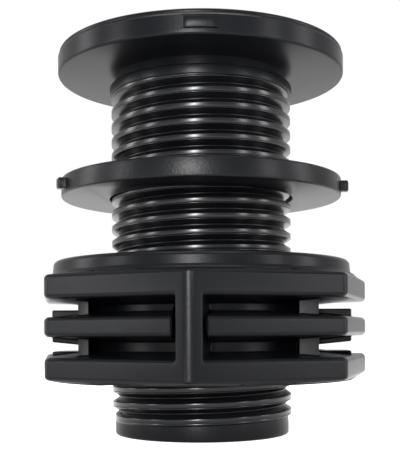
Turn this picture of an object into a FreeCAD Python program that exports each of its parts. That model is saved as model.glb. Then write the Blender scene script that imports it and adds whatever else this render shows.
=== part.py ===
import FreeCAD, Part
import math
import os

# Tank outlet fitting: a flanged, threaded tube, a loose gasket and a slotted nut.
# The tube stands on its plain end at z = 0 with its axis on Z, flange uppermost.
# Azimuths are in degrees from the viewer's side, which is -Y, and grow towards +X.

# Tube: plain end, pipe sockets at both ends with a waist between, collar, neck
plain_end_radius = 38.2
plain_end_height = 9.1
plain_end_edge = 1.0
socket_radius = 28.3
socket_depth = 26.0
socket_chamfer = 1.2
waist_radius = 26.0
collar_radius = 40.1
collar_bottom_z = 147.9
collar_top_z = 152.1
collar_edge = 0.5
neck_radius = 37.6

# Threaded length, drawn as a cylinder over the thread's crests, between plain end and collar
thread_radius = 39.5
thread_lead_in = 1.3

# Flange
flange_radius = 62.5
flange_bottom_z = 156.0
flange_thickness = 10.0
flange_edge = 0.9
flange_lip_height = 1.4
flange_lip_inset = 0.5
flange_groove_height = 0.5
flange_groove_depth = 0.6

# Bare pad moulded on the flange's rim
pad_width = 13.7
pad_height = 5.5
pad_bottom_above_flange = 2.0
pad_proud = 0.6

# Gasket
gasket_width = 21.0
gasket_thickness = 8.1
gasket_bottom_z = 103.0
gasket_edge = 0.5
gasket_collar_clearance = 0.3
tab_azimuths = (-68.5, 79.0)
tab_width = 4.4
tab_height = 4.5
tab_proud = 3.2
tab_edge = 0.5

# Nut: polygonal plates, one above the other
nut_sides = 7
nut_corner_radius = 76.0
nut_corner_rounding = 4.4
nut_corner_azimuth = -3.6
nut_bottom_z = 24.7
lower_plate_thickness = 9.9
lower_slot_height = 8.2
middle_plate_thickness = 8.0
upper_slot_height = 7.2
upper_plate_thickness = 10.6
plate_edge = 1.2
crowned_plate_edge = 1.9
plate_crown_drop = 1.0

# Nut: slots that close in by a moulding draft towards the sleeve, and low ribs at both sides
draft_start_radius = 66.0
slot_draft = 1.9
side_rib_radius = 65.6
side_rib_half_width = 12.0
lower_rib_rise = 1.7
middle_rib_rise = 3.5
middle_rib_fall = 3.7
middle_rib_taper = 1.3

# Nut: sleeve and skirt
sleeve_radius = 47.4
thread_clearance = 0.4
skirt_radius = 65.2
skirt_height = 6.6
skirt_draft = 0.4
skirt_edge = 1.2
skirt_root_chamfer = 1.2
nut_bore_chamfer = 1.5

# Nut: posts at the front and back, walls beside the sleeve
post_half_width = 4.8
post_root_half_width = 6.0
post_gap = 1.6
post_gap_inner_radius = 56.0
wall_offset = 44.9
wall_reach_radius = 61.0
narrow_wall_width = 4.6
wide_wall_width = 8.0

# Heights and radii that follow
flange_top_z = flange_bottom_z + flange_thickness
gasket_hole_radius = max(collar_radius, thread_radius) + gasket_collar_clearance
gasket_outer_radius = gasket_hole_radius + gasket_width
nut_bore_radius = thread_radius + thread_clearance
lower_slot_z = nut_bottom_z + lower_plate_thickness
middle_plate_z = lower_slot_z + lower_slot_height
upper_slot_z = middle_plate_z + middle_plate_thickness
upper_plate_z = upper_slot_z + upper_slot_height
nut_plates_top_z = upper_plate_z + upper_plate_thickness
skirt_top_z = nut_plates_top_z + skirt_height


def vec(x, y, z):
    return FreeCAD.Vector(x, y, z)


def towards(azimuth, radius, z=0.0):
    """The point at a radius from the axis, in the direction of an azimuth."""
    a = math.radians(azimuth)
    return vec(radius * math.sin(a), -radius * math.cos(a), z)


def turned(shape, azimuth):
    """A shape drawn facing the viewer, turned about the axis to face an azimuth."""
    copy = shape.copy()
    copy.rotate(vec(0, 0, 0), vec(0, 0, 1), azimuth)
    return copy


def rounded_wire(corners):
    """A closed wire through (point, rounding) corners, each rounding a tangent arc."""
    count = len(corners)
    edges = []
    starts = []
    ends = []
    for i in range(count):
        point, rounding = corners[i]
        if rounding <= 0:
            starts.append(point)
            ends.append(point)
            continue
        back = (corners[i - 1][0] - point).normalize()
        ahead = (corners[(i + 1) % count][0] - point).normalize()
        half = back.getAngle(ahead) / 2
        tangent = rounding / math.tan(half)
        middle = (back + ahead).normalize()
        reach = rounding / math.sin(half) - rounding
        starts.append(point + back * tangent)
        ends.append(point + ahead * tangent)
        edges.append(Part.Arc(starts[-1], point + middle * reach, ends[-1]).toShape())
    for i in range(count):
        a = ends[i]
        b = starts[(i + 1) % count]
        if a.distanceToPoint(b) > 1e-6:
            edges.append(Part.LineSegment(a, b).toShape())
    return Part.Wire(Part.__sortEdges__(edges))


def revolved(profile):
    """A solid of revolution about Z from (radius, height) corners."""
    points = [vec(r, 0, z) for r, z in distinct(profile)]
    face = Part.Face(Part.makePolygon(points + points[:1]))
    return face.revolve(vec(0, 0, 0), vec(0, 0, 1), 360)


def distinct(profile):
    """The profile without a corner that repeats the one before it."""
    kept = []
    for corner in profile:
        if kept and math.hypot(corner[0] - kept[-1][0], corner[1] - kept[-1][1]) < 1e-6:
            continue
        kept.append(corner)
    return kept


def ring(inner, outer, bottom, top):
    """A plain ring about Z."""
    return revolved([(inner, bottom), (outer, bottom), (outer, top), (inner, top)])


def block(x0, x1, y0, y1, z0, z1):
    return Part.makeBox(x1 - x0, y1 - y0, z1 - z0, vec(x0, y0, z0))


def tube_profile():
    """Half section of the tube with its flange, anticlockwise from the foot of the waist."""
    lip_radius = flange_radius - flange_lip_inset
    lip_bottom = flange_top_z - flange_lip_height
    groove_radius = flange_radius - flange_groove_depth
    return [
        (waist_radius, socket_depth),
        (socket_radius, socket_depth),
        (socket_radius, 0),
        (plain_end_radius - plain_end_edge, 0),
        (plain_end_radius, plain_end_edge),
        (plain_end_radius, plain_end_height),
        (thread_radius, plain_end_height + thread_lead_in),
        (thread_radius, collar_bottom_z),
        (collar_radius, collar_bottom_z),
        (collar_radius, collar_top_z - collar_edge),
        (collar_radius - collar_edge, collar_top_z),
        (neck_radius, collar_top_z),
        (neck_radius, flange_bottom_z),
        (flange_radius - flange_edge, flange_bottom_z),
        (flange_radius, flange_bottom_z + flange_edge),
        (flange_radius, lip_bottom - flange_groove_height),
        (groove_radius, lip_bottom),
        (lip_radius, lip_bottom),
        (lip_radius, flange_top_z - flange_lip_inset),
        (lip_radius - flange_lip_inset, flange_top_z),
        (socket_radius + socket_chamfer, flange_top_z),
        (socket_radius, flange_top_z - socket_chamfer),
        (socket_radius, flange_top_z - socket_depth),
        (waist_radius, flange_top_z - socket_depth),
    ]


def rim_pad():
    """A low rectangular pad that stands proud of the flange's rim."""
    bottom = flange_bottom_z + pad_bottom_above_flange
    outer = flange_radius + pad_proud
    inner = flange_radius - 2 * pad_proud
    band = ring(inner, outer, bottom, bottom + pad_height)
    half = pad_width / 2
    return band.common(block(-half, half, -outer - 1, 0, bottom - 1, bottom + pad_height + 1))


def make_body():
    tube = revolved(tube_profile())
    return tube.fuse(rim_pad()).removeSplitter()


def gasket_tab():
    """A short square tab, drawn at the front of the gasket's edge."""
    middle_z = gasket_bottom_z + gasket_thickness / 2
    half = tab_width / 2
    outer = gasket_outer_radius + tab_proud
    inner = gasket_outer_radius - tab_proud
    tab = block(-half, half, -outer, -inner, middle_z - tab_height / 2, middle_z + tab_height / 2)
    ends = [e for e in tab.Edges if e.CenterOfMass.y < -outer + 0.01]
    return tab.makeChamfer(tab_edge, ends)


def make_gasket():
    bottom = gasket_bottom_z
    top = gasket_bottom_z + gasket_thickness
    gasket = revolved([
        (gasket_hole_radius, bottom),
        (gasket_outer_radius - gasket_edge, bottom),
        (gasket_outer_radius, bottom + gasket_edge),
        (gasket_outer_radius, top - gasket_edge),
        (gasket_outer_radius - gasket_edge, top),
        (gasket_hole_radius, top),
    ])
    for azimuth in tab_azimuths:
        gasket = gasket.fuse(turned(gasket_tab(), azimuth))
    return gasket.removeSplitter()


def nut_outline(bottom, top):
    """The rounded polygon of the plates as a prism."""
    step = 360.0 / nut_sides
    corners = []
    for k in range(nut_sides):
        point = towards(k * step, nut_corner_radius, bottom)
        corners.append((point, nut_corner_rounding))
    return Part.Face(rounded_wire(corners)).extrude(vec(0, 0, top - bottom))


def crowned(bottom, top, bottom_drop, top_drop):
    """A turned blank whose faces fall away towards the plates' corners."""
    outer = nut_corner_radius + 1
    slope = (outer - draft_start_radius) / (nut_corner_radius - draft_start_radius)
    return revolved([
        (nut_bore_radius, bottom),
        (draft_start_radius, bottom),
        (outer, bottom + bottom_drop * slope),
        (outer, top - top_drop * slope),
        (draft_start_radius, top),
        (nut_bore_radius, top),
    ])


def rim_edges(prism, height):
    """The edges of a prism's outline that lie at one height."""
    return [e for e in prism.Edges if abs(e.BoundBox.ZMin - height) + abs(e.BoundBox.ZMax - height) < 0.01]


def plate(bottom, top, bottom_drop, top_drop):
    """One polygonal plate with its upper and lower edges chamfered."""
    blank = nut_outline(bottom, top)
    lower_edge = crowned_plate_edge if bottom_drop else plate_edge
    upper_edge = crowned_plate_edge if top_drop else plate_edge
    blank = blank.makeChamfer(lower_edge, rim_edges(blank, bottom))
    blank = blank.makeChamfer(upper_edge, rim_edges(blank, top))
    return blank.common(crowned(bottom, top, bottom_drop, top_drop))


def drafted_core(bottom, top, fall, rise):
    """The inner part of a plate, which grows thicker from its rim heights towards the sleeve."""
    inner = sleeve_radius - 1
    outer = draft_start_radius + 1
    span = draft_start_radius - sleeve_radius
    grown = (draft_start_radius - inner) / span
    return revolved([
        (inner, bottom - fall * grown),
        (outer, bottom + fall / span),
        (outer, top - rise / span),
        (inner, top + rise * grown),
    ])


def side_ribs(bottom, top, taper):
    """Low ribs on a plate, one at each side, which reach almost to the polygon's rim."""
    inner = sleeve_radius - 1
    half = side_rib_half_width
    band = revolved([
        (inner, bottom),
        (wall_offset + wide_wall_width, bottom),
        (side_rib_radius, bottom + taper),
        (side_rib_radius, top),
        (inner, top),
    ])
    reach = side_rib_radius + 1
    left = band.common(block(-reach, -nut_bore_radius, -half, half, bottom - 1, top + 1))
    right = band.common(block(nut_bore_radius, reach, -half, half, bottom - 1, top + 1))
    return [left, right]


def post_notch(bottom, top):
    """The space beside a post, which the middle plate leaves free."""
    half = post_half_width + post_gap
    outer = nut_corner_radius + 1
    return block(-half, half, -outer, -post_gap_inner_radius, bottom, top)


def middle_plate():
    """The middle plate with its thicker core and its side ribs, open at the posts."""
    flat = plate(middle_plate_z, upper_slot_z, 0, 0)
    bottom = middle_plate_z - middle_rib_fall
    top = upper_slot_z + middle_rib_rise
    core = drafted_core(middle_plate_z, upper_slot_z, slot_draft, slot_draft)
    whole = flat.multiFuse([core] + side_ribs(bottom, top, middle_rib_taper))
    for azimuth in (0, 180):
        whole = whole.cut(turned(post_notch(bottom - 1, top + 1), azimuth))
    return whole


def post():
    """A post between the outer plates, drawn on the front corner of the polygon."""
    bottom = nut_bottom_z + lower_plate_thickness / 2
    top = upper_plate_z + upper_plate_thickness / 2
    front = nut_corner_radius + 1
    root = sleeve_radius - 1
    corners = [
        vec(-post_half_width, -front, bottom),
        vec(post_half_width, -front, bottom),
        vec(post_root_half_width, -root, bottom),
        vec(-post_root_half_width, -root, bottom),
    ]
    return Part.Face(Part.makePolygon(corners + corners[:1])).extrude(vec(0, 0, top - bottom))


def posts():
    """The front post, on a corner, and the back post, on the flat opposite."""
    outline = nut_outline(nut_bottom_z, nut_plates_top_z)
    front = post().common(outline)
    back = turned(post(), 180).common(outline)
    return [front, back]


def sleeve_walls():
    """Two upright walls that run beside the sleeve and tie the plates together."""
    bottom = nut_bottom_z + lower_plate_thickness / 2
    top = upper_plate_z + upper_plate_thickness / 2
    walls = []
    for side, width in ((-1, narrow_wall_width), (1, wide_wall_width)):
        near = wall_offset - width / 2
        far = wall_offset + width / 2
        reach = math.sqrt(wall_reach_radius ** 2 - wall_offset ** 2)
        x0 = min(side * near, side * far)
        x1 = max(side * near, side * far)
        walls.append(block(x0, x1, -reach, reach, bottom, top))
    return walls


def skirt():
    """The round shoulder above the plates, which bears on the tank wall."""
    base = nut_plates_top_z
    root = skirt_radius + skirt_root_chamfer
    top_radius = skirt_radius - skirt_draft
    return revolved([
        (nut_bore_radius, base - upper_plate_thickness / 2),
        (root, base - upper_plate_thickness / 2),
        (root, base - plate_crown_drop / 4),
        (skirt_radius, base + skirt_root_chamfer),
        (top_radius, skirt_top_z - skirt_edge),
        (top_radius - skirt_edge, skirt_top_z),
        (nut_bore_radius, skirt_top_z),
    ])


def nut_bore():
    """The space the nut leaves for the thread, with a chamfer at each mouth."""
    overrun = 1
    mouth = nut_bore_radius + nut_bore_chamfer + overrun
    return revolved([
        (0, nut_bottom_z - overrun),
        (mouth, nut_bottom_z - overrun),
        (nut_bore_radius, nut_bottom_z + nut_bore_chamfer),
        (nut_bore_radius, skirt_top_z - nut_bore_chamfer),
        (mouth, skirt_top_z + overrun),
        (0, skirt_top_z + overrun),
    ])


def make_nut():
    lower = plate(nut_bottom_z, lower_slot_z, plate_crown_drop, 0)
    upper = plate(upper_plate_z, nut_plates_top_z, 0, plate_crown_drop)
    pieces = [
        middle_plate(),
        upper,
        drafted_core(nut_bottom_z, lower_slot_z, 0, slot_draft),
        drafted_core(upper_plate_z, nut_plates_top_z, slot_draft, 0),
        ring(nut_bore_radius, sleeve_radius, nut_bottom_z, skirt_top_z),
        skirt(),
    ]
    pieces += side_ribs(lower_slot_z - lower_rib_rise, lower_slot_z + lower_rib_rise, 0)
    pieces += posts()
    pieces += sleeve_walls()
    nut = lower.multiFuse(pieces)
    nut = nut.cut(nut_bore()).removeSplitter()
    return turned(nut, nut_corner_azimuth)


def export(name, shape):
    solids = shape.Solids
    one = solids[0] if len(solids) == 1 else Part.makeCompound(solids)
    one.exportStep("parts/" + name + ".step")
    box = one.BoundBox
    print(name, "solids", len(solids), "valid", one.isValid(), "volume", round(one.Volume))
    print("  z", round(box.ZMin, 2), round(box.ZMax, 2), "width", round(box.XLength, 2))


def main():
    os.makedirs("parts", exist_ok=True)
    export("fitting_body", make_body())
    export("gasket", make_gasket())
    export("nut", make_nut())


main()
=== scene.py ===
# %% [markdown]
# # Tank outlet fitting
# The fitting passes a pipe connection through the wall of a water tank. It is three mouldings:
# a flanged tube with a long outside thread, a loose flat gasket, and a wide nut whose three
# seven-sided plates stand one above the other so that a hand or a strap can grip it. This lesson
# dresses the measured model: it keeps every size and adds what a plain solid leaves out, which is
# the screw threads, the rounded moulded edges and the finish of black plastic and rubber.

# %% Load the measured model
import bpy
import bmesh
import math
from mathutils import Matrix, Vector


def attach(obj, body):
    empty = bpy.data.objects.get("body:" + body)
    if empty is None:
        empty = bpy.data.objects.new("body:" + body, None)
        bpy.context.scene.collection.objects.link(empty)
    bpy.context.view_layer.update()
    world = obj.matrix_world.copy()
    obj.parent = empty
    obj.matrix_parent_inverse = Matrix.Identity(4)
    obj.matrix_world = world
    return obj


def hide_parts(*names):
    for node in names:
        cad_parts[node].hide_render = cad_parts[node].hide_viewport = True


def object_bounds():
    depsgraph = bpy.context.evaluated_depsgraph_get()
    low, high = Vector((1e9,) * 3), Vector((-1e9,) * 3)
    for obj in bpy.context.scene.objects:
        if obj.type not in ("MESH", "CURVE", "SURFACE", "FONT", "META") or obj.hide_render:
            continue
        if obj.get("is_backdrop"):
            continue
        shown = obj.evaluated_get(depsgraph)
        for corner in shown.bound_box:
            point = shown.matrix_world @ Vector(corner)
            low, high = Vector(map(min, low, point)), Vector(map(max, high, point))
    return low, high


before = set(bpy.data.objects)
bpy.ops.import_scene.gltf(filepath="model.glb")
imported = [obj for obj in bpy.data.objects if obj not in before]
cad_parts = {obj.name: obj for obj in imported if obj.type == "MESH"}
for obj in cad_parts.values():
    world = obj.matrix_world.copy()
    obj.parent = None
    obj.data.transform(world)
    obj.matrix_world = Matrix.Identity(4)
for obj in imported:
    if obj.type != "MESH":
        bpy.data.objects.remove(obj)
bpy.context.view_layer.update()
MM = 0.001

# %% [markdown]
# ## Shared helpers
# Almost everything on this fitting is turned: a half section swept about the upright axis. It
# could be built from cylinders cut out of each other, but a section is shorter and gives clean
# faces. A screw thread is the same sweep with a rise, so the spin operator makes both. The section
# is a closed loop of corners, radius and height, in the plane of the front.

# %% A closed section, and its sweep about the axis
FRONT = Vector((0.0, -1.0, 0.0))
SAME_PLACE = 1e-6


def profile_loop(mesh, corners):
    """A closed loop of (radius, height) corners in millimetres, in the plane of the front."""
    points = [mesh.verts.new(FRONT * r * MM + Vector((0, 0, z * MM))) for r, z in corners]
    return points + [mesh.edges.new((a, b)) for a, b in zip(points, points[1:] + points[:1])]


def turned_shape(corners, steps):
    """A bmesh with the closed profile swept one full turn about the axis."""
    mesh = bmesh.new()
    loop = profile_loop(mesh, corners)
    bmesh.ops.spin(mesh, geom=loop, cent=(0, 0, 0), axis=(0, 0, 1), dvec=(0, 0, 0),
                   angle=math.tau, steps=steps, use_merge=True, use_duplicate=False)
    bmesh.ops.recalc_face_normals(mesh, faces=mesh.faces)
    return mesh


def screwed_shape(corners, pitch, turns, steps_a_turn):
    """A bmesh with the closed profile swept up whole right-handed turns, both ends closed."""
    mesh = bmesh.new()
    loop = profile_loop(mesh, corners)
    bmesh.ops.spin(mesh, geom=loop, cent=(0, 0, 0), axis=(0, 0, 1),
                   dvec=(0, 0, pitch * MM / steps_a_turn), angle=math.tau,
                   steps=steps_a_turn, use_merge=False, use_duplicate=False)
    one_turn = mesh.verts[:] + mesh.edges[:] + mesh.faces[:]
    for turn in range(1, turns):
        copied = bmesh.ops.duplicate(mesh, geom=one_turn)["geom"]
        bmesh.ops.translate(mesh, vec=(0, 0, turn * pitch * MM),
                            verts=[v for v in copied if isinstance(v, bmesh.types.BMVert)])
    bmesh.ops.remove_doubles(mesh, verts=mesh.verts, dist=SAME_PLACE)
    close_holes(mesh)
    return mesh


def close_holes(mesh):
    """Fills each open loop with a face and turns every face outwards."""
    bmesh.ops.holes_fill(mesh, edges=[e for e in mesh.edges if e.is_boundary], sides=0)
    bmesh.ops.recalc_face_normals(mesh, faces=mesh.faces)


# %% Cutting, choosing circles and rounding edges
UPWARDS = Vector((0, 0, 1))
ON_PLANE = 1e-7


def cut_off(mesh, direction, distance):
    """Cuts what lies further along a direction than that many millimetres, and closes the mesh."""
    bmesh.ops.bisect_plane(mesh, geom=mesh.verts[:] + mesh.edges[:] + mesh.faces[:],
                           dist=ON_PLANE, plane_co=direction * distance * MM, plane_no=direction,
                           clear_outer=True)
    close_holes(mesh)


def ring_edges(mesh, radius, height):
    """The edges of the circle with that radius and height, in millimetres."""
    def on_it(vert):
        return (abs(math.hypot(vert.co.x, vert.co.y) - radius * MM) < SAME_PLACE
                and abs(vert.co.z - height * MM) < SAME_PLACE)
    return [e for e in mesh.edges if on_it(e.verts[0]) and on_it(e.verts[1])]


def round_edges(mesh, edges, width, segments, clamp=True):
    """Rounds edges by a bevel of that width in millimetres."""
    bmesh.ops.bevel(mesh, geom=edges, offset=width * MM, offset_type="OFFSET", segments=segments,
                    profile=0.5, affect="EDGES", clamp_overlap=clamp, material=-1)


# %% From a bmesh to a piece of the fitting
SHARP_DEG, THREAD_SHARP_DEG = 32, 50


def finished(mesh, name, body, sharp_deg=SHARP_DEG):
    """Turns a bmesh into a piece that rides on a body; edges past sharp_deg stay sharp."""
    data = bpy.data.meshes.new(name)
    mesh.to_mesh(data)
    mesh.free()
    data.shade_smooth()
    data.set_sharp_from_angle(angle=math.radians(sharp_deg))
    piece = bpy.data.objects.new(name, data)
    bpy.context.scene.collection.objects.link(piece)
    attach(piece, body)
    data.calc_loop_triangles()
    print(name, "triangles", len(data.loop_triangles))
    return piece


# %% [markdown]
# ## Black moulded polypropylene
# The tube and the nut are injection moulded in black polypropylene. It is nearly black, a touch
# blue, with a satin skin: the mould's fine spark texture breaks up reflections, and the plastic's
# flow leaves faint, wide changes of gloss. A scanned picture could show that, but noise on Object
# coordinates needs no file and has no seam. A wide noise drives colour and roughness, and a fine
# one the bump. The gasket's rubber is the same skin with a deeper grain.

# %% A noise texture


def noise_node(tree, scale, detail, roughness, location):
    """A noise texture with its place in the node editor."""
    node = tree.nodes.new("ShaderNodeTexNoise")
    node.inputs["Scale"].default_value = scale
    node.inputs["Detail"].default_value = detail
    node.inputs["Roughness"].default_value = roughness
    node.location = location
    return node


# %% A moulded skin
FLOW_SCALE, FLOW_DETAIL, FLOW_ROUGHNESS = 22.0, 3.0, 0.55
GRAIN_DETAIL, GRAIN_ROUGHNESS, GRAIN_STRENGTH = 2.0, 0.6, 0.5
TINT_FROM, TINT_TO = 0.3, 0.75


def moulded_material(name, colour, light_colour, roughness_range, grain_scale, grain_depth,
                     specular):
    """A moulded skin: wide changes of colour and gloss, with a fine grain as bump."""
    material = bpy.data.materials.new(name)
    material.use_nodes = True
    tree = material.node_tree
    shader = tree.nodes["Principled BSDF"]
    shader.inputs["Specular IOR Level"].default_value = specular
    coords = tree.nodes.new("ShaderNodeTexCoord")
    coords.location = (-1100, 0)
    flow = noise_node(tree, FLOW_SCALE, FLOW_DETAIL, FLOW_ROUGHNESS, (-850, 200))
    grain = noise_node(tree, grain_scale, GRAIN_DETAIL, GRAIN_ROUGHNESS, (-850, -250))
    tint = tree.nodes.new("ShaderNodeValToRGB")
    tint.color_ramp.elements[0].position = TINT_FROM
    tint.color_ramp.elements[0].color = (*colour, 1)
    tint.color_ramp.elements[1].position = TINT_TO
    tint.color_ramp.elements[1].color = (*light_colour, 1)
    tint.location = (-550, 350)
    gloss = tree.nodes.new("ShaderNodeMapRange")
    gloss.inputs["To Min"].default_value = roughness_range[0]
    gloss.inputs["To Max"].default_value = roughness_range[1]
    gloss.location = (-550, 50)
    bump = tree.nodes.new("ShaderNodeBump")
    bump.inputs["Strength"].default_value = GRAIN_STRENGTH
    bump.inputs["Distance"].default_value = grain_depth * MM
    bump.location = (-300, -250)
    link = tree.links.new
    link(coords.outputs["Object"], flow.inputs["Vector"])
    link(coords.outputs["Object"], grain.inputs["Vector"])
    link(flow.outputs["Fac"], tint.inputs["Fac"])
    link(flow.outputs["Fac"], gloss.inputs["Value"])
    link(grain.outputs["Fac"], bump.inputs["Height"])
    link(tint.outputs["Color"], shader.inputs["Base Color"])
    link(gloss.outputs["Result"], shader.inputs["Roughness"])
    link(bump.outputs["Normal"], shader.inputs["Normal"])
    return material


# %% Black polypropylene for the tube and the nut, rubber for the gasket
black_polypropylene = moulded_material(
    "black_polypropylene", colour=(0.002, 0.0022, 0.003), light_colour=(0.004, 0.0043, 0.0055),
    roughness_range=(0.28, 0.34), grain_scale=1100.0, grain_depth=0.08, specular=0.085)
gasket_rubber = moulded_material(
    "gasket_rubber", colour=(0.0025, 0.0027, 0.0035), light_colour=(0.0045, 0.0048, 0.006),
    roughness_range=(0.28, 0.34), grain_scale=1100.0, grain_depth=0.14, specular=0.1)
print("materials", black_polypropylene.name, gasket_rubber.name)

# %% [markdown]
# The outside thread comes from a polished part of the mould, so it is glossier than the faces
# round it and shows each light as a bright band on its crests. It could share the tube's material
# with a mask, but as it is a piece of its own, a second, smoother finish is simpler.

# %% The thread's polished skin
polished_thread = moulded_material(
    "polished_thread", colour=(0.0018, 0.0019, 0.0024), light_colour=(0.003, 0.0032, 0.004),
    roughness_range=(0.2, 0.26), grain_scale=500.0, grain_depth=0.01, specular=0.25)
print("material", polished_thread.name)

# %% [markdown]
# ## The flanged tube
# The tube is one moulding: plain end, threaded length, collar, neck and flange, with a pipe
# socket at each end of its bore. It could be a copy of the solid, but a new spin of its half
# section gives even quads that bevel cleanly. The spin has 168 steps, because six of those steps
# are just the width of the small bare pad on the flange's rim.

# %% Heights and radii of the tube, in millimetres
PLAIN_R, PLAIN_TOP, LEAD_IN = 38.2, 9.1, 1.2
ROOT_R, CREST_R, PITCH = 36.65, 39.5, 6.35
COLLAR_R, COLLAR_LOW, COLLAR_TOP = 40.1, 147.9, 152.1
NECK_R = 37.6
FLANGE_R, FLANGE_LOW, FLANGE_TOP = 62.5, 156.0, 166.0
LIP_R, LIP_LOW, LIP_GROOVE_R, LIP_GROOVE_H = 62.0, 164.6, 61.9, 0.2
SOCKET_R, SOCKET_DEPTH, WAIST_R = 28.3, 26.0, 26.0
PAD_LOW, PAD_TOP, PAD_STEPS = 158.0, 163.5, 6
TURN_STEPS = 168

tube_section = [
    (WAIST_R, SOCKET_DEPTH), (SOCKET_R, SOCKET_DEPTH), (SOCKET_R, 0), (PLAIN_R, 0),
    (PLAIN_R, PLAIN_TOP), (ROOT_R, PLAIN_TOP + LEAD_IN), (ROOT_R, COLLAR_LOW), (COLLAR_R, COLLAR_LOW),
    (COLLAR_R, COLLAR_TOP), (NECK_R, COLLAR_TOP), (NECK_R, FLANGE_LOW), (FLANGE_R, FLANGE_LOW),
    (FLANGE_R, PAD_LOW), (FLANGE_R, PAD_TOP), (LIP_GROOVE_R, LIP_LOW - LIP_GROOVE_H),
    (LIP_R, LIP_LOW), (LIP_R, FLANGE_TOP), (SOCKET_R, FLANGE_TOP),
    (SOCKET_R, FLANGE_TOP - SOCKET_DEPTH), (WAIST_R, FLANGE_TOP - SOCKET_DEPTH),
]
tube = turned_shape(tube_section, TURN_STEPS)
print("tube section corners", len(tube_section), "faces", len(tube.faces))

# %% [markdown]
# The pad is a low rectangle on the rim, with a narrow groove round it. It could be a block of
# its own, but it is moulded with the rim, so it is inset from the rim's own faces. They are first
# pressed in, then inset by the groove's width, and the middle is pushed out again until it stands
# proud.

# %% The bare pad on the rim
GROOVE_DEPTH, GROOVE_WIDTH, GROOVE_SLOPE = 0.55, 0.5, 0.02
PAD_RISE, PAD_SLOPE, PAD_CROWN, PAD_EDGE = 0.95, 0.05, 0.12, 0.2
RIM_REACH = 0.1


def pad_faces(mesh):
    """The rim's faces that become the pad, between its edges and six steps wide."""
    found = []
    for face in mesh.faces:
        centre = face.calc_center_median()
        azimuth = math.degrees(math.atan2(centre.x, -centre.y))
        on_rim = abs(math.hypot(centre.x, centre.y) - FLANGE_R * MM) < RIM_REACH * MM
        in_height = PAD_LOW * MM < centre.z < PAD_TOP * MM
        if on_rim and in_height and abs(azimuth) < PAD_STEPS / 2 * 360 / TURN_STEPS:
            found.append(face)
    return found


pad = pad_faces(tube)
for inset, push in (
    (GROOVE_SLOPE, -GROOVE_DEPTH), (GROOVE_WIDTH, 0), (PAD_SLOPE, PAD_RISE), (PAD_EDGE, PAD_CROWN),
):
    bmesh.ops.inset_region(tube, faces=pad, thickness=inset * MM, depth=push * MM,
                           use_even_offset=True)
print("pad faces", len(pad))

# %% [markdown]
# A mould leaves no sharp outer edge. A Bevel modifier with an angle limit would round every edge
# by one width, but the real widths differ: the flange and the upper socket's mouth are rounder
# than the collar. So each circle is found by its radius and height, and bevelled by its own width.

# %% Rounded circles of the tube: radius, height and width of the rounding
ROUND_STEPS = 4
rounded_circles = (
    (PLAIN_R, 0, 1.1), (SOCKET_R, 0, 0.5), (PLAIN_R, PLAIN_TOP, 0.4), (COLLAR_R, COLLAR_LOW, 0.5),
    (COLLAR_R, COLLAR_TOP, 0.7), (FLANGE_R, FLANGE_LOW, 1.0), (LIP_R, FLANGE_TOP, 0.8),
    (SOCKET_R, FLANGE_TOP, 1.2), (WAIST_R, SOCKET_DEPTH, 0.5),
    (WAIST_R, FLANGE_TOP - SOCKET_DEPTH, 0.5),
)
for radius, height, width in rounded_circles:
    round_edges(tube, ring_edges(tube, radius, height), width, ROUND_STEPS)
tube_moulding = finished(tube, "tube_moulding", "fitting_body")
tube_moulding.data.materials.append(black_polypropylene)
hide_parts("fitting_body")

# %% [markdown]
# ## The outside thread
# The coarse thread rises 6.35 mm a turn. Its ridge has straight flanks, a narrow flat crest with
# a fine line near its lower edge, and a sharp root. A Screw modifier could make it, but the spin
# operator leaves a mesh that can still be shaped. One closed section of the ridge, sunk a little
# into the tube, is screwed up the helix. It starts at the back, grows out of the tube over half
# a turn, and its upper end is cut off inside the collar.

# %% The section of a ridge
ARC_STEPS, SUNK_SHARE = 3, 0.8


def ridge_section(root_r, crest_r, half_width, land_half, edge_round, sunk, notch=0.0):
    """Corners of one thread ridge about height 0; crest_r may lie inside or outside root_r."""
    side = 1 if crest_r > root_r else -1
    depth = abs(crest_r - root_r)
    flank = half_width - land_half
    slope = math.atan2(depth, flank)
    run = (edge_round * math.hypot(depth, flank) + (depth - edge_round) * flank) / depth
    arc_z = half_width - run
    arc = []
    for i in range(ARC_STEPS + 1):
        a = slope * i / ARC_STEPS
        arc_r = crest_r - side * edge_round * (1 - math.cos(a))
        arc.append((arc_r, arc_z + edge_round * math.sin(a)))
    lower_arc = [(r, -z) for r, z in reversed(arc)]
    line = []
    if notch:
        line = [(crest_r - side * notch, 2 * notch - arc_z), (crest_r, 4 * notch - arc_z)]
    sunk_r = root_r - side * sunk
    return [(sunk_r, -half_width * SUNK_SHARE), (root_r, -half_width), *lower_arc, *line, *arc,
            (root_r, half_width), (sunk_r, half_width * SUNK_SHARE)]


def raised(corners, height):
    """The same corners, that much higher."""
    return [(r, z + height) for r, z in corners]


# %% The outside ridge and its helix
CREST_AT_FRONT, ROOT_WIDTH, THREAD_STEPS, SUNK = 8.55, 0.3, 96, 0.4
CREST_AT_START = CREST_AT_FRONT - PITCH / 2
COLLAR_INSIDE = 150.0
ridge_half = PITCH / 2 - ROOT_WIDTH / 2
thread_turns = math.ceil((COLLAR_INSIDE + ridge_half - CREST_AT_START) / PITCH)
ridge_corners = ridge_section(ROOT_R, CREST_R, ridge_half, land_half=1.15, edge_round=0.35,
                              sunk=SUNK, notch=0.14)
ridge = screwed_shape(raised(ridge_corners, CREST_AT_START), PITCH, thread_turns, THREAD_STEPS)
print("outside thread turns", thread_turns, "section corners", len(ridge_corners))

# %% The run-out at its start, and the piece
RUN_OUT_DEG, RUN_OUT_MARGIN = 180.0, 0.01


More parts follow.
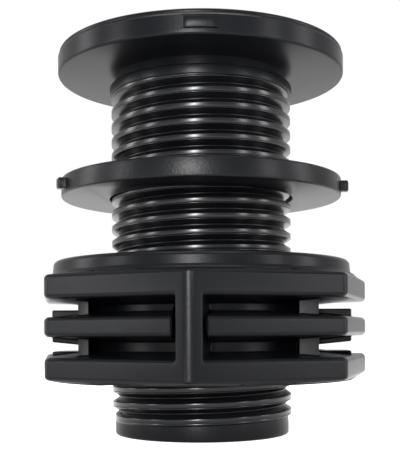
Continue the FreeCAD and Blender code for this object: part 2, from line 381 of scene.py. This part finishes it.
def run_out(mesh, start, half, root_r, reach_deg):
    """Lets the ridge grow out of the root over its first degrees."""
    for vert in mesh.verts:
        azimuth = math.atan2(vert.co.x, -vert.co.y) % math.tau
        above = vert.co.z / MM - start - PITCH * azimuth / math.tau
        radius = math.hypot(vert.co.x, vert.co.y)
        grown = min(1.0, math.degrees(azimuth) / reach_deg)
        if abs(above) <= half + RUN_OUT_MARGIN and grown < 1 and radius > root_r * MM:
            grown = grown * grown * (3 - 2 * grown)
            wanted = root_r * MM + (radius - root_r * MM) * grown
            vert.co.xy *= wanted / radius


run_out(ridge, CREST_AT_START, ridge_half, ROOT_R, RUN_OUT_DEG)
bmesh.ops.rotate(ridge, verts=ridge.verts, cent=(0, 0, 0), matrix=Matrix.Rotation(math.pi, 3, "Z"))
cut_off(ridge, UPWARDS, COLLAR_INSIDE)
outside_thread = finished(ridge, "outside_thread", "fitting_body",
                          THREAD_SHARP_DEG)
outside_thread.data.materials.append(polished_thread)

# %% [markdown]
# ## The pipe threads in the sockets
# Each end of the bore takes a two-inch pipe, so it has a fine inside thread of 2.31 mm pitch. It
# could be left as a bump, but from above the ridges show in outline, so they are real. Each is
# the same kind of ridge section, pointing inwards.

# %% Two inside threads
SOCKET_PITCH, SOCKET_TURNS, SOCKET_STEPS = 2.309, 9, 72
SOCKET_THREAD_DEPTH, SOCKET_OVERLAP, SOCKET_ROOT_HALF = 1.2, 0.05, 0.02
LOWER_START, UPPER_START = 2.0, 1.5
socket_ridge = ridge_section(SOCKET_R + SOCKET_OVERLAP, SOCKET_R - SOCKET_THREAD_DEPTH,
                             SOCKET_PITCH / 2 - SOCKET_ROOT_HALF, land_half=0.2, edge_round=0.1,
                             sunk=SUNK)
for name, low in (
    ("lower_socket_thread", LOWER_START),
    ("upper_socket_thread", FLANGE_TOP - SOCKET_DEPTH + UPPER_START),
):
    inner = screwed_shape(raised(socket_ridge, low), SOCKET_PITCH, SOCKET_TURNS, SOCKET_STEPS)
    socket_thread = finished(inner, name, "fitting_body", THREAD_SHARP_DEG)
    socket_thread.data.materials.append(black_polypropylene)

# %% [markdown]
# ## The gasket
# A flat ring of rubber with two short tabs on its edge. It could be spun anew, but its solid
# already has every form, so the piece is a copy of that solid with its edges softened. The solid's
# mesh is loose triangles, so the copy is merged and its flat faces are made whole before the bevel.

# %% The gasket, as a rounded copy of its solid
SAME_FACE_DEG = 1.0
GASKET_EDGE_DEG, GASKET_ROUND, GASKET_ROUND_STEPS = 25, 0.35, 2


def merged_copy(node):
    """A bmesh of a node's mesh with its loose triangles joined and flat faces made whole."""
    mesh = bmesh.new()
    mesh.from_mesh(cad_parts[node].data)
    bmesh.ops.remove_doubles(mesh, verts=mesh.verts, dist=SAME_PLACE)
    bmesh.ops.dissolve_limit(mesh, angle_limit=math.radians(SAME_FACE_DEG),
                             use_dissolve_boundaries=False, verts=mesh.verts, edges=mesh.edges,
                             delimit=set())
    return mesh


def true_edges(mesh, least_deg):
    """The edges where two faces meet at this angle or more."""
    return [e for e in mesh.edges
            if len(e.link_faces) == 2 and e.calc_face_angle(0) > math.radians(least_deg)]


gasket = merged_copy("gasket")
round_edges(gasket, true_edges(gasket, GASKET_EDGE_DEG), GASKET_ROUND, GASKET_ROUND_STEPS)
gasket_ring = finished(gasket, "gasket_ring", "gasket")
gasket_ring.data.materials.append(gasket_rubber)
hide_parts("gasket")

# %% [markdown]
# ## The nut
# The nut is moulded in one piece too: three plates, two posts, two walls and a threaded sleeve.
# Its solid has all of them, so the piece is a copy of that solid with its edges rounded as a mould
# rounds them. The front corner could be bevelled, but its many short edges meet badly there.
# Three plane cuts give it narrow flats instead, which lean back a little with the plates' draft.
# They catch the light from top to bottom of the front post.

# %% The nut's copy, with its front corner cut to three flats
nut = merged_copy("nut")
NUT_CORNER_DEG = -3.6
NUT_APOTHEM, NUT_SIDES, CORNER_TOP = 68.47, 7, 70.0
CORNER_ROUND_R, CORNER_LEAN_DEG, CORNER_TURNS_DEG = 8.0, 0.17, (-7, 0, 7)
FORWARDS = Matrix.Rotation(math.radians(NUT_CORNER_DEG), 3, "Z") @ Vector((0, -1, 0))
ACROSS = FORWARDS.cross(UPWARDS) * -1
corner_centre = (NUT_APOTHEM - CORNER_ROUND_R) / math.cos(math.pi / NUT_SIDES)
lean = math.radians(CORNER_LEAN_DEG)
for turn_deg in CORNER_TURNS_DEG:
    turn = math.radians(turn_deg)
    level_way = FORWARDS * math.cos(turn) + ACROSS * math.sin(turn)
    level_reach = corner_centre * math.cos(turn) + CORNER_ROUND_R
    corner_way = level_way * math.cos(lean) - UPWARDS * math.sin(lean)
    cut_off(nut, corner_way, level_reach * math.cos(lean) - CORNER_TOP * math.sin(lean))
print("front corner in", len(CORNER_TURNS_DEG), "flats, faces", len(nut.faces))

# %% [markdown]
# The plates' ends beside the front post, and the inner corners along the post's sides, are
# rounder than the other edges. They could be picked by hand, but it is surer to find them by the
# way that their faces look. These two sets are rounded first, and then every edge that is still
# sharp. The Weighted Normal modifier keeps the large faces flat between the small roundings.

# %% The nut's rounded edges
BAR_END_X, BAR_END_REACH, BAR_END_ROUND = 6.4, 0.1, 1.0
POST_LOW_X, POST_HIGH_X, POST_ROUND = 4.5, 6.0, 1.2
NUT_EDGE_DEG, NUT_ROUND, NUT_ROUND_STEPS = 28, 0.6, 3
FACES_ACROSS, BORDER_DEG = 0.98, 40


def faces_across(mesh, least_x, most_x):
    """The upright faces that look along the nut's width, this far from its middle."""
    found = []
    for face in mesh.faces:
        along = abs(face.calc_center_median().dot(ACROSS)) / MM
        if abs(face.normal.dot(ACROSS)) > FACES_ACROSS and least_x < along < most_x:
            found.append(face)
    return found


def border_edges(faces, convex):
    """The edges where these faces turn outwards, or inwards, into others."""
    edges = {e for f in faces for e in f.edges if len(e.link_faces) == 2}
    least = math.radians(BORDER_DEG)
    return [e for e in edges if e.is_convex == convex and e.calc_face_angle(0) > least]


bar_ends = faces_across(nut, BAR_END_X - BAR_END_REACH, BAR_END_X + BAR_END_REACH)
print("bar ends", len(bar_ends), "edges", len(border_edges(bar_ends, True)))
round_edges(nut, border_edges(bar_ends, True), BAR_END_ROUND, ROUND_STEPS)
post_sides = faces_across(nut, POST_LOW_X, POST_HIGH_X)
print("post sides", len(post_sides), "edges", len(border_edges(post_sides, False)))
round_edges(nut, border_edges(post_sides, False), POST_ROUND, ROUND_STEPS)
print("nut edges", len(nut.edges), "true edges", len(true_edges(nut, NUT_EDGE_DEG)))
round_edges(nut, true_edges(nut, NUT_EDGE_DEG), NUT_ROUND, NUT_ROUND_STEPS, clamp=False)
bmesh.ops.dissolve_degenerate(nut, edges=nut.edges, dist=SAME_PLACE)
nut_moulding = finished(nut, "nut_moulding", "nut")
flat_faces = nut_moulding.modifiers.new("flat_faces", "WEIGHTED_NORMAL")
flat_faces.keep_sharp = True
nut_moulding.data.materials.append(black_polypropylene)
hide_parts("nut")

# %% [markdown]
# The nut's inside thread runs in the grooves of the tube's, so it has the same pitch and starts
# half a pitch away from the crests. Its own crests must pass the plain end when the nut is screwed
# off, so they stay just outside that radius. The ridge is made as the outside one is, with the
# section pointing inwards.

# %% The nut's inside thread, in step with the tube's
NUT_BORE_R, NUT_LOW, NUT_TOP = 39.9, 24.7, 75.2
LOW_GAP, TOP_GAP, PLAIN_END_GAP = 2.5, 2.0, 0.25
turn_at_start = math.ceil((NUT_LOW + LOW_GAP - CREST_AT_FRONT - PITCH / 2) / PITCH)
inner_start = CREST_AT_FRONT + PITCH / 2 + turn_at_start * PITCH
inner_turns = math.ceil((NUT_TOP - inner_start) / PITCH)
inner_corners = ridge_section(NUT_BORE_R, PLAIN_R + PLAIN_END_GAP, half_width=1.45,
                              land_half=0.45, edge_round=0.1, sunk=SUNK)
inner = screwed_shape(raised(inner_corners, inner_start), PITCH, inner_turns, THREAD_STEPS)
cut_off(inner, UPWARDS, NUT_TOP - TOP_GAP)
nut_thread = finished(inner, "nut_thread", "nut", THREAD_SHARP_DEG)
nut_thread.data.materials.append(black_polypropylene)

# %% [markdown]
# ## Floor, light and camera
# The fitting stands on a pale floor against white. Both could be lit until they clip, but that
# would wash out the plastic, so a glow makes them white only where they are seen or mirrored.
# Black satin plastic shows its shape only by what it reflects, so narrow upright lights stand
# round it: one in front picks out the nut's front corner and the middle of every round form, two
# at each side draw the bands beside it, and a wide one overhead lights the upper faces.

# %% Rays that see the background
WHITE = (1, 1, 1, 1)


def seen_rays(tree):
    """1 for rays of the camera, mirrored rays and rays passed through, otherwise 0."""
    path = tree.nodes.new("ShaderNodeLightPath")
    first = tree.nodes.new("ShaderNodeMath")
    first.operation = "MAXIMUM"
    second = tree.nodes.new("ShaderNodeMath")
    second.operation = "MAXIMUM"
    tree.links.new(path.outputs["Is Camera Ray"], first.inputs[0])
    tree.links.new(path.outputs["Is Glossy Ray"], first.inputs[1])
    tree.links.new(first.outputs["Value"], second.inputs[0])
    tree.links.new(path.outputs["Is Transmission Ray"], second.inputs[1])
    return second.outputs["Value"]


# %% The white world
FILL_STRENGTH = 0.3


def white_world():
    """White where it is seen, and a weak even fill as light."""
    world = bpy.data.worlds.new("studio")
    bpy.context.scene.world = world
    world.use_nodes = True
    tree = world.node_tree
    tree.nodes.clear()
    out = tree.nodes.new("ShaderNodeOutputWorld")
    seen = tree.nodes.new("ShaderNodeBackground")
    seen.inputs["Color"].default_value = WHITE
    seen.inputs["Strength"].default_value = 1.0
    fill = tree.nodes.new("ShaderNodeBackground")
    fill.inputs["Color"].default_value = WHITE
    fill.inputs["Strength"].default_value = FILL_STRENGTH
    mix = tree.nodes.new("ShaderNodeMixShader")
    link = tree.links.new
    link(seen_rays(tree), mix.inputs["Fac"])
    link(fill.outputs["Background"], mix.inputs[1])
    link(seen.outputs["Background"], mix.inputs[2])
    link(mix.outputs["Shader"], out.inputs["Surface"])


white_world()
print("background in place")

# %% The floor and its paint
FLOOR_HALF, FLOOR_GLOW = 6.0, 0.72
floor_mesh = bmesh.new()
bmesh.ops.create_grid(floor_mesh, x_segments=1, y_segments=1, size=FLOOR_HALF)
floor_data = bpy.data.meshes.new("floor")
floor_mesh.to_mesh(floor_data)
floor_mesh.free()
floor = bpy.data.objects.new("floor", floor_data)
bpy.context.scene.collection.objects.link(floor)


def floor_material():
    """Pale paint that shows as white where it is seen, and still takes the object's shadow."""
    paint = bpy.data.materials.new("floor_paint")
    paint.use_nodes = True
    tree = paint.node_tree
    shader = tree.nodes["Principled BSDF"]
    shader.inputs["Base Color"].default_value = (0.9, 0.9, 0.9, 1)
    shader.inputs["Roughness"].default_value = 0.9
    glow = tree.nodes.new("ShaderNodeEmission")
    glow.inputs["Color"].default_value = WHITE
    glow.inputs["Strength"].default_value = FLOOR_GLOW
    both = tree.nodes.new("ShaderNodeAddShader")
    mix = tree.nodes.new("ShaderNodeMixShader")
    link = tree.links.new
    link(shader.outputs["BSDF"], both.inputs[0])
    link(glow.outputs["Emission"], both.inputs[1])
    link(seen_rays(tree), mix.inputs["Fac"])
    link(shader.outputs["BSDF"], mix.inputs[1])
    link(both.outputs["Shader"], mix.inputs[2])
    link(mix.outputs["Shader"], tree.nodes["Material Output"].inputs["Surface"])
    return paint


floor_data.materials.append(floor_material())
floor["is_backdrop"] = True
print("floor in place")

# %% Lights
LIGHT_FOOT = 0.02


def soft_light(name, place, aim, width, height, power):
    """A rectangular light at a place, turned to what it aims at."""
    light = bpy.data.lights.new(name, "AREA")
    light.shape = "RECTANGLE"
    light.size = width
    light.size_y = height
    light.energy = power
    lamp = bpy.data.objects.new(name, light)
    lamp.location = place
    lamp.rotation_euler = (Vector(aim) - Vector(place)).to_track_quat("-Z", "Y").to_euler()
    bpy.context.scene.collection.objects.link(lamp)


def standing_light(name, azimuth_deg, distance, width, height, power):
    """An upright light just above the floor, at an angle round the fitting from the front."""
    azimuth = math.radians(azimuth_deg)
    centre_z = LIGHT_FOOT + height / 2
    place = (distance * math.sin(azimuth), -distance * math.cos(azimuth), centre_z)
    soft_light(name, place, (0, 0, centre_z), width, height, power)


# %% The lights: angle round the fitting, distance, width, height and power
standing_lights = (
    ("front_soft_light", -8, 1.2, 0.12, 0.5, 22.0),
    ("left_soft_light", -64, 1.0, 0.12, 0.5, 4.0),
    ("far_left_soft_light", -97, 1.0, 0.2, 0.6, 4.0),
    ("right_soft_light", 53, 1.0, 0.12, 0.55, 4.0),
    ("far_right_soft_light", 84, 1.0, 0.16, 0.6, 4.0),
)
for values in standing_lights:
    standing_light(*values)
TOP_PLACE, TOP_AIM, TOP_SIDE, TOP_POWER = (0, 0.0, 1.2), (0, 0, 0.085), 0.7, 12.0
soft_light("top_soft_light", TOP_PLACE, TOP_AIM, TOP_SIDE, TOP_SIDE, TOP_POWER)
print("lights in place", len(standing_lights) + 1)

# %% [markdown]
# The camera stands low and close, level with the nut, so the flange is seen from below. A level
# camera keeps the tube's sides upright. The picture's frame is reached by the lens shift, because
# a tilt would make them lean.

# %% Camera, at the photograph's viewing angle
FRAME_WIDTH, FOCAL_LENGTH, SENSOR_WIDTH = 400.0, 880.0, 36.0
CAMERA_PLACE, CAMERA_ROLL_DEG, CAMERA_SHIFT = (0, -0.3911, 0.045), 0.28, (-0.0045, 0.2662)
camera_data = bpy.data.cameras.new("camera")
camera_data.sensor_fit = "HORIZONTAL"
camera_data.sensor_width = SENSOR_WIDTH
camera_data.lens = SENSOR_WIDTH * FOCAL_LENGTH / FRAME_WIDTH
camera_data.shift_x = CAMERA_SHIFT[0]
camera_data.shift_y = CAMERA_SHIFT[1]
camera_data.dof.use_dof = False
camera = bpy.data.objects.new("camera", camera_data)
camera.location = CAMERA_PLACE
camera.rotation_euler = (math.radians(90), math.radians(CAMERA_ROLL_DEG), 0)
bpy.context.scene.collection.objects.link(camera)
bpy.context.scene.camera = camera
bpy.context.scene.view_settings.view_transform = "Standard"
print("camera at", [round(v, 4) for v in camera.location])

# %% [markdown]
# The dressed fitting has to keep the measured size, so its box is printed.

# %% The dressed object's size, and the end
dressed_low, dressed_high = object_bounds()
for corner in (dressed_low, dressed_high):
    print("dressed corner", [round(v / MM, 1) for v in corner])
